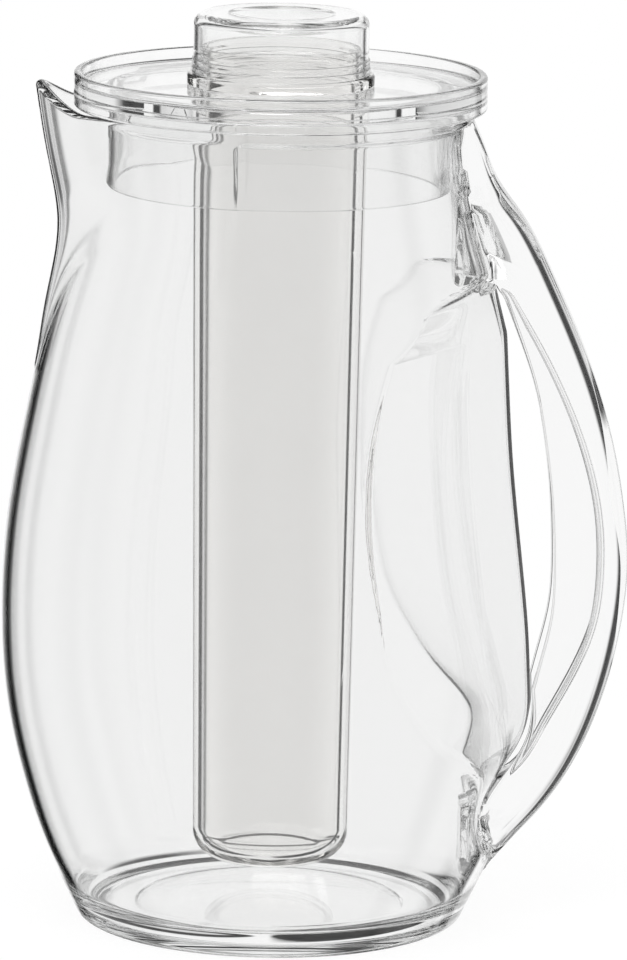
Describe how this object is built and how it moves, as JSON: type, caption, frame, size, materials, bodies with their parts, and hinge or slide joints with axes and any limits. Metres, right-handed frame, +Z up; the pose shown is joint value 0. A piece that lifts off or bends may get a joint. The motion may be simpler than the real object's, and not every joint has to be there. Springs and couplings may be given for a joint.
{
  "type": "plastic water carafe",
  "caption": "Clear pear-shaped water jug with a beak spout, channel handle, lift-off lid and a capped ice tube that hangs in the water.",
  "frame": {"origin": "centre of the foot, on the surface that the jug stands on", "axes": "+Z up along the jug's axis; the spout points along -X and the handle along +X"},
  "size_m": [0.1889, 0.1646, 0.2754],
  "materials": {
    "clear_shell": "clear, polished",
    "clear_handle": "clear, polished",
    "clear_lid": "clear, polished",
    "milky_tube": "clear with a slight haze",
    "clear_cap": "clear, polished"
  },
  "bodies": {
    "jug": {"jug_body": "clear_shell", "handle": "clear_handle"},
    "lid": {"lid": "clear_lid"},
    "tube": {"ice_tube": "milky_tube"},
    "cap": {"tube_cap": "clear_cap"}
  },
  "joints": [
    {"name": "lid_lift", "type": "slide", "parent": "jug", "child": "lid", "axis": [0, 0, 1], "range_m": [0, 0.245]},
    {"name": "tube_lift", "type": "slide", "parent": "lid", "child": "tube", "axis": [0, 0, 1], "range_m": [0, 0.24]},
    {"name": "cap_lift", "type": "slide", "parent": "tube", "child": "cap", "axis": [0, 0, 1], "range_m": [0, 0.04]}
  ]
}
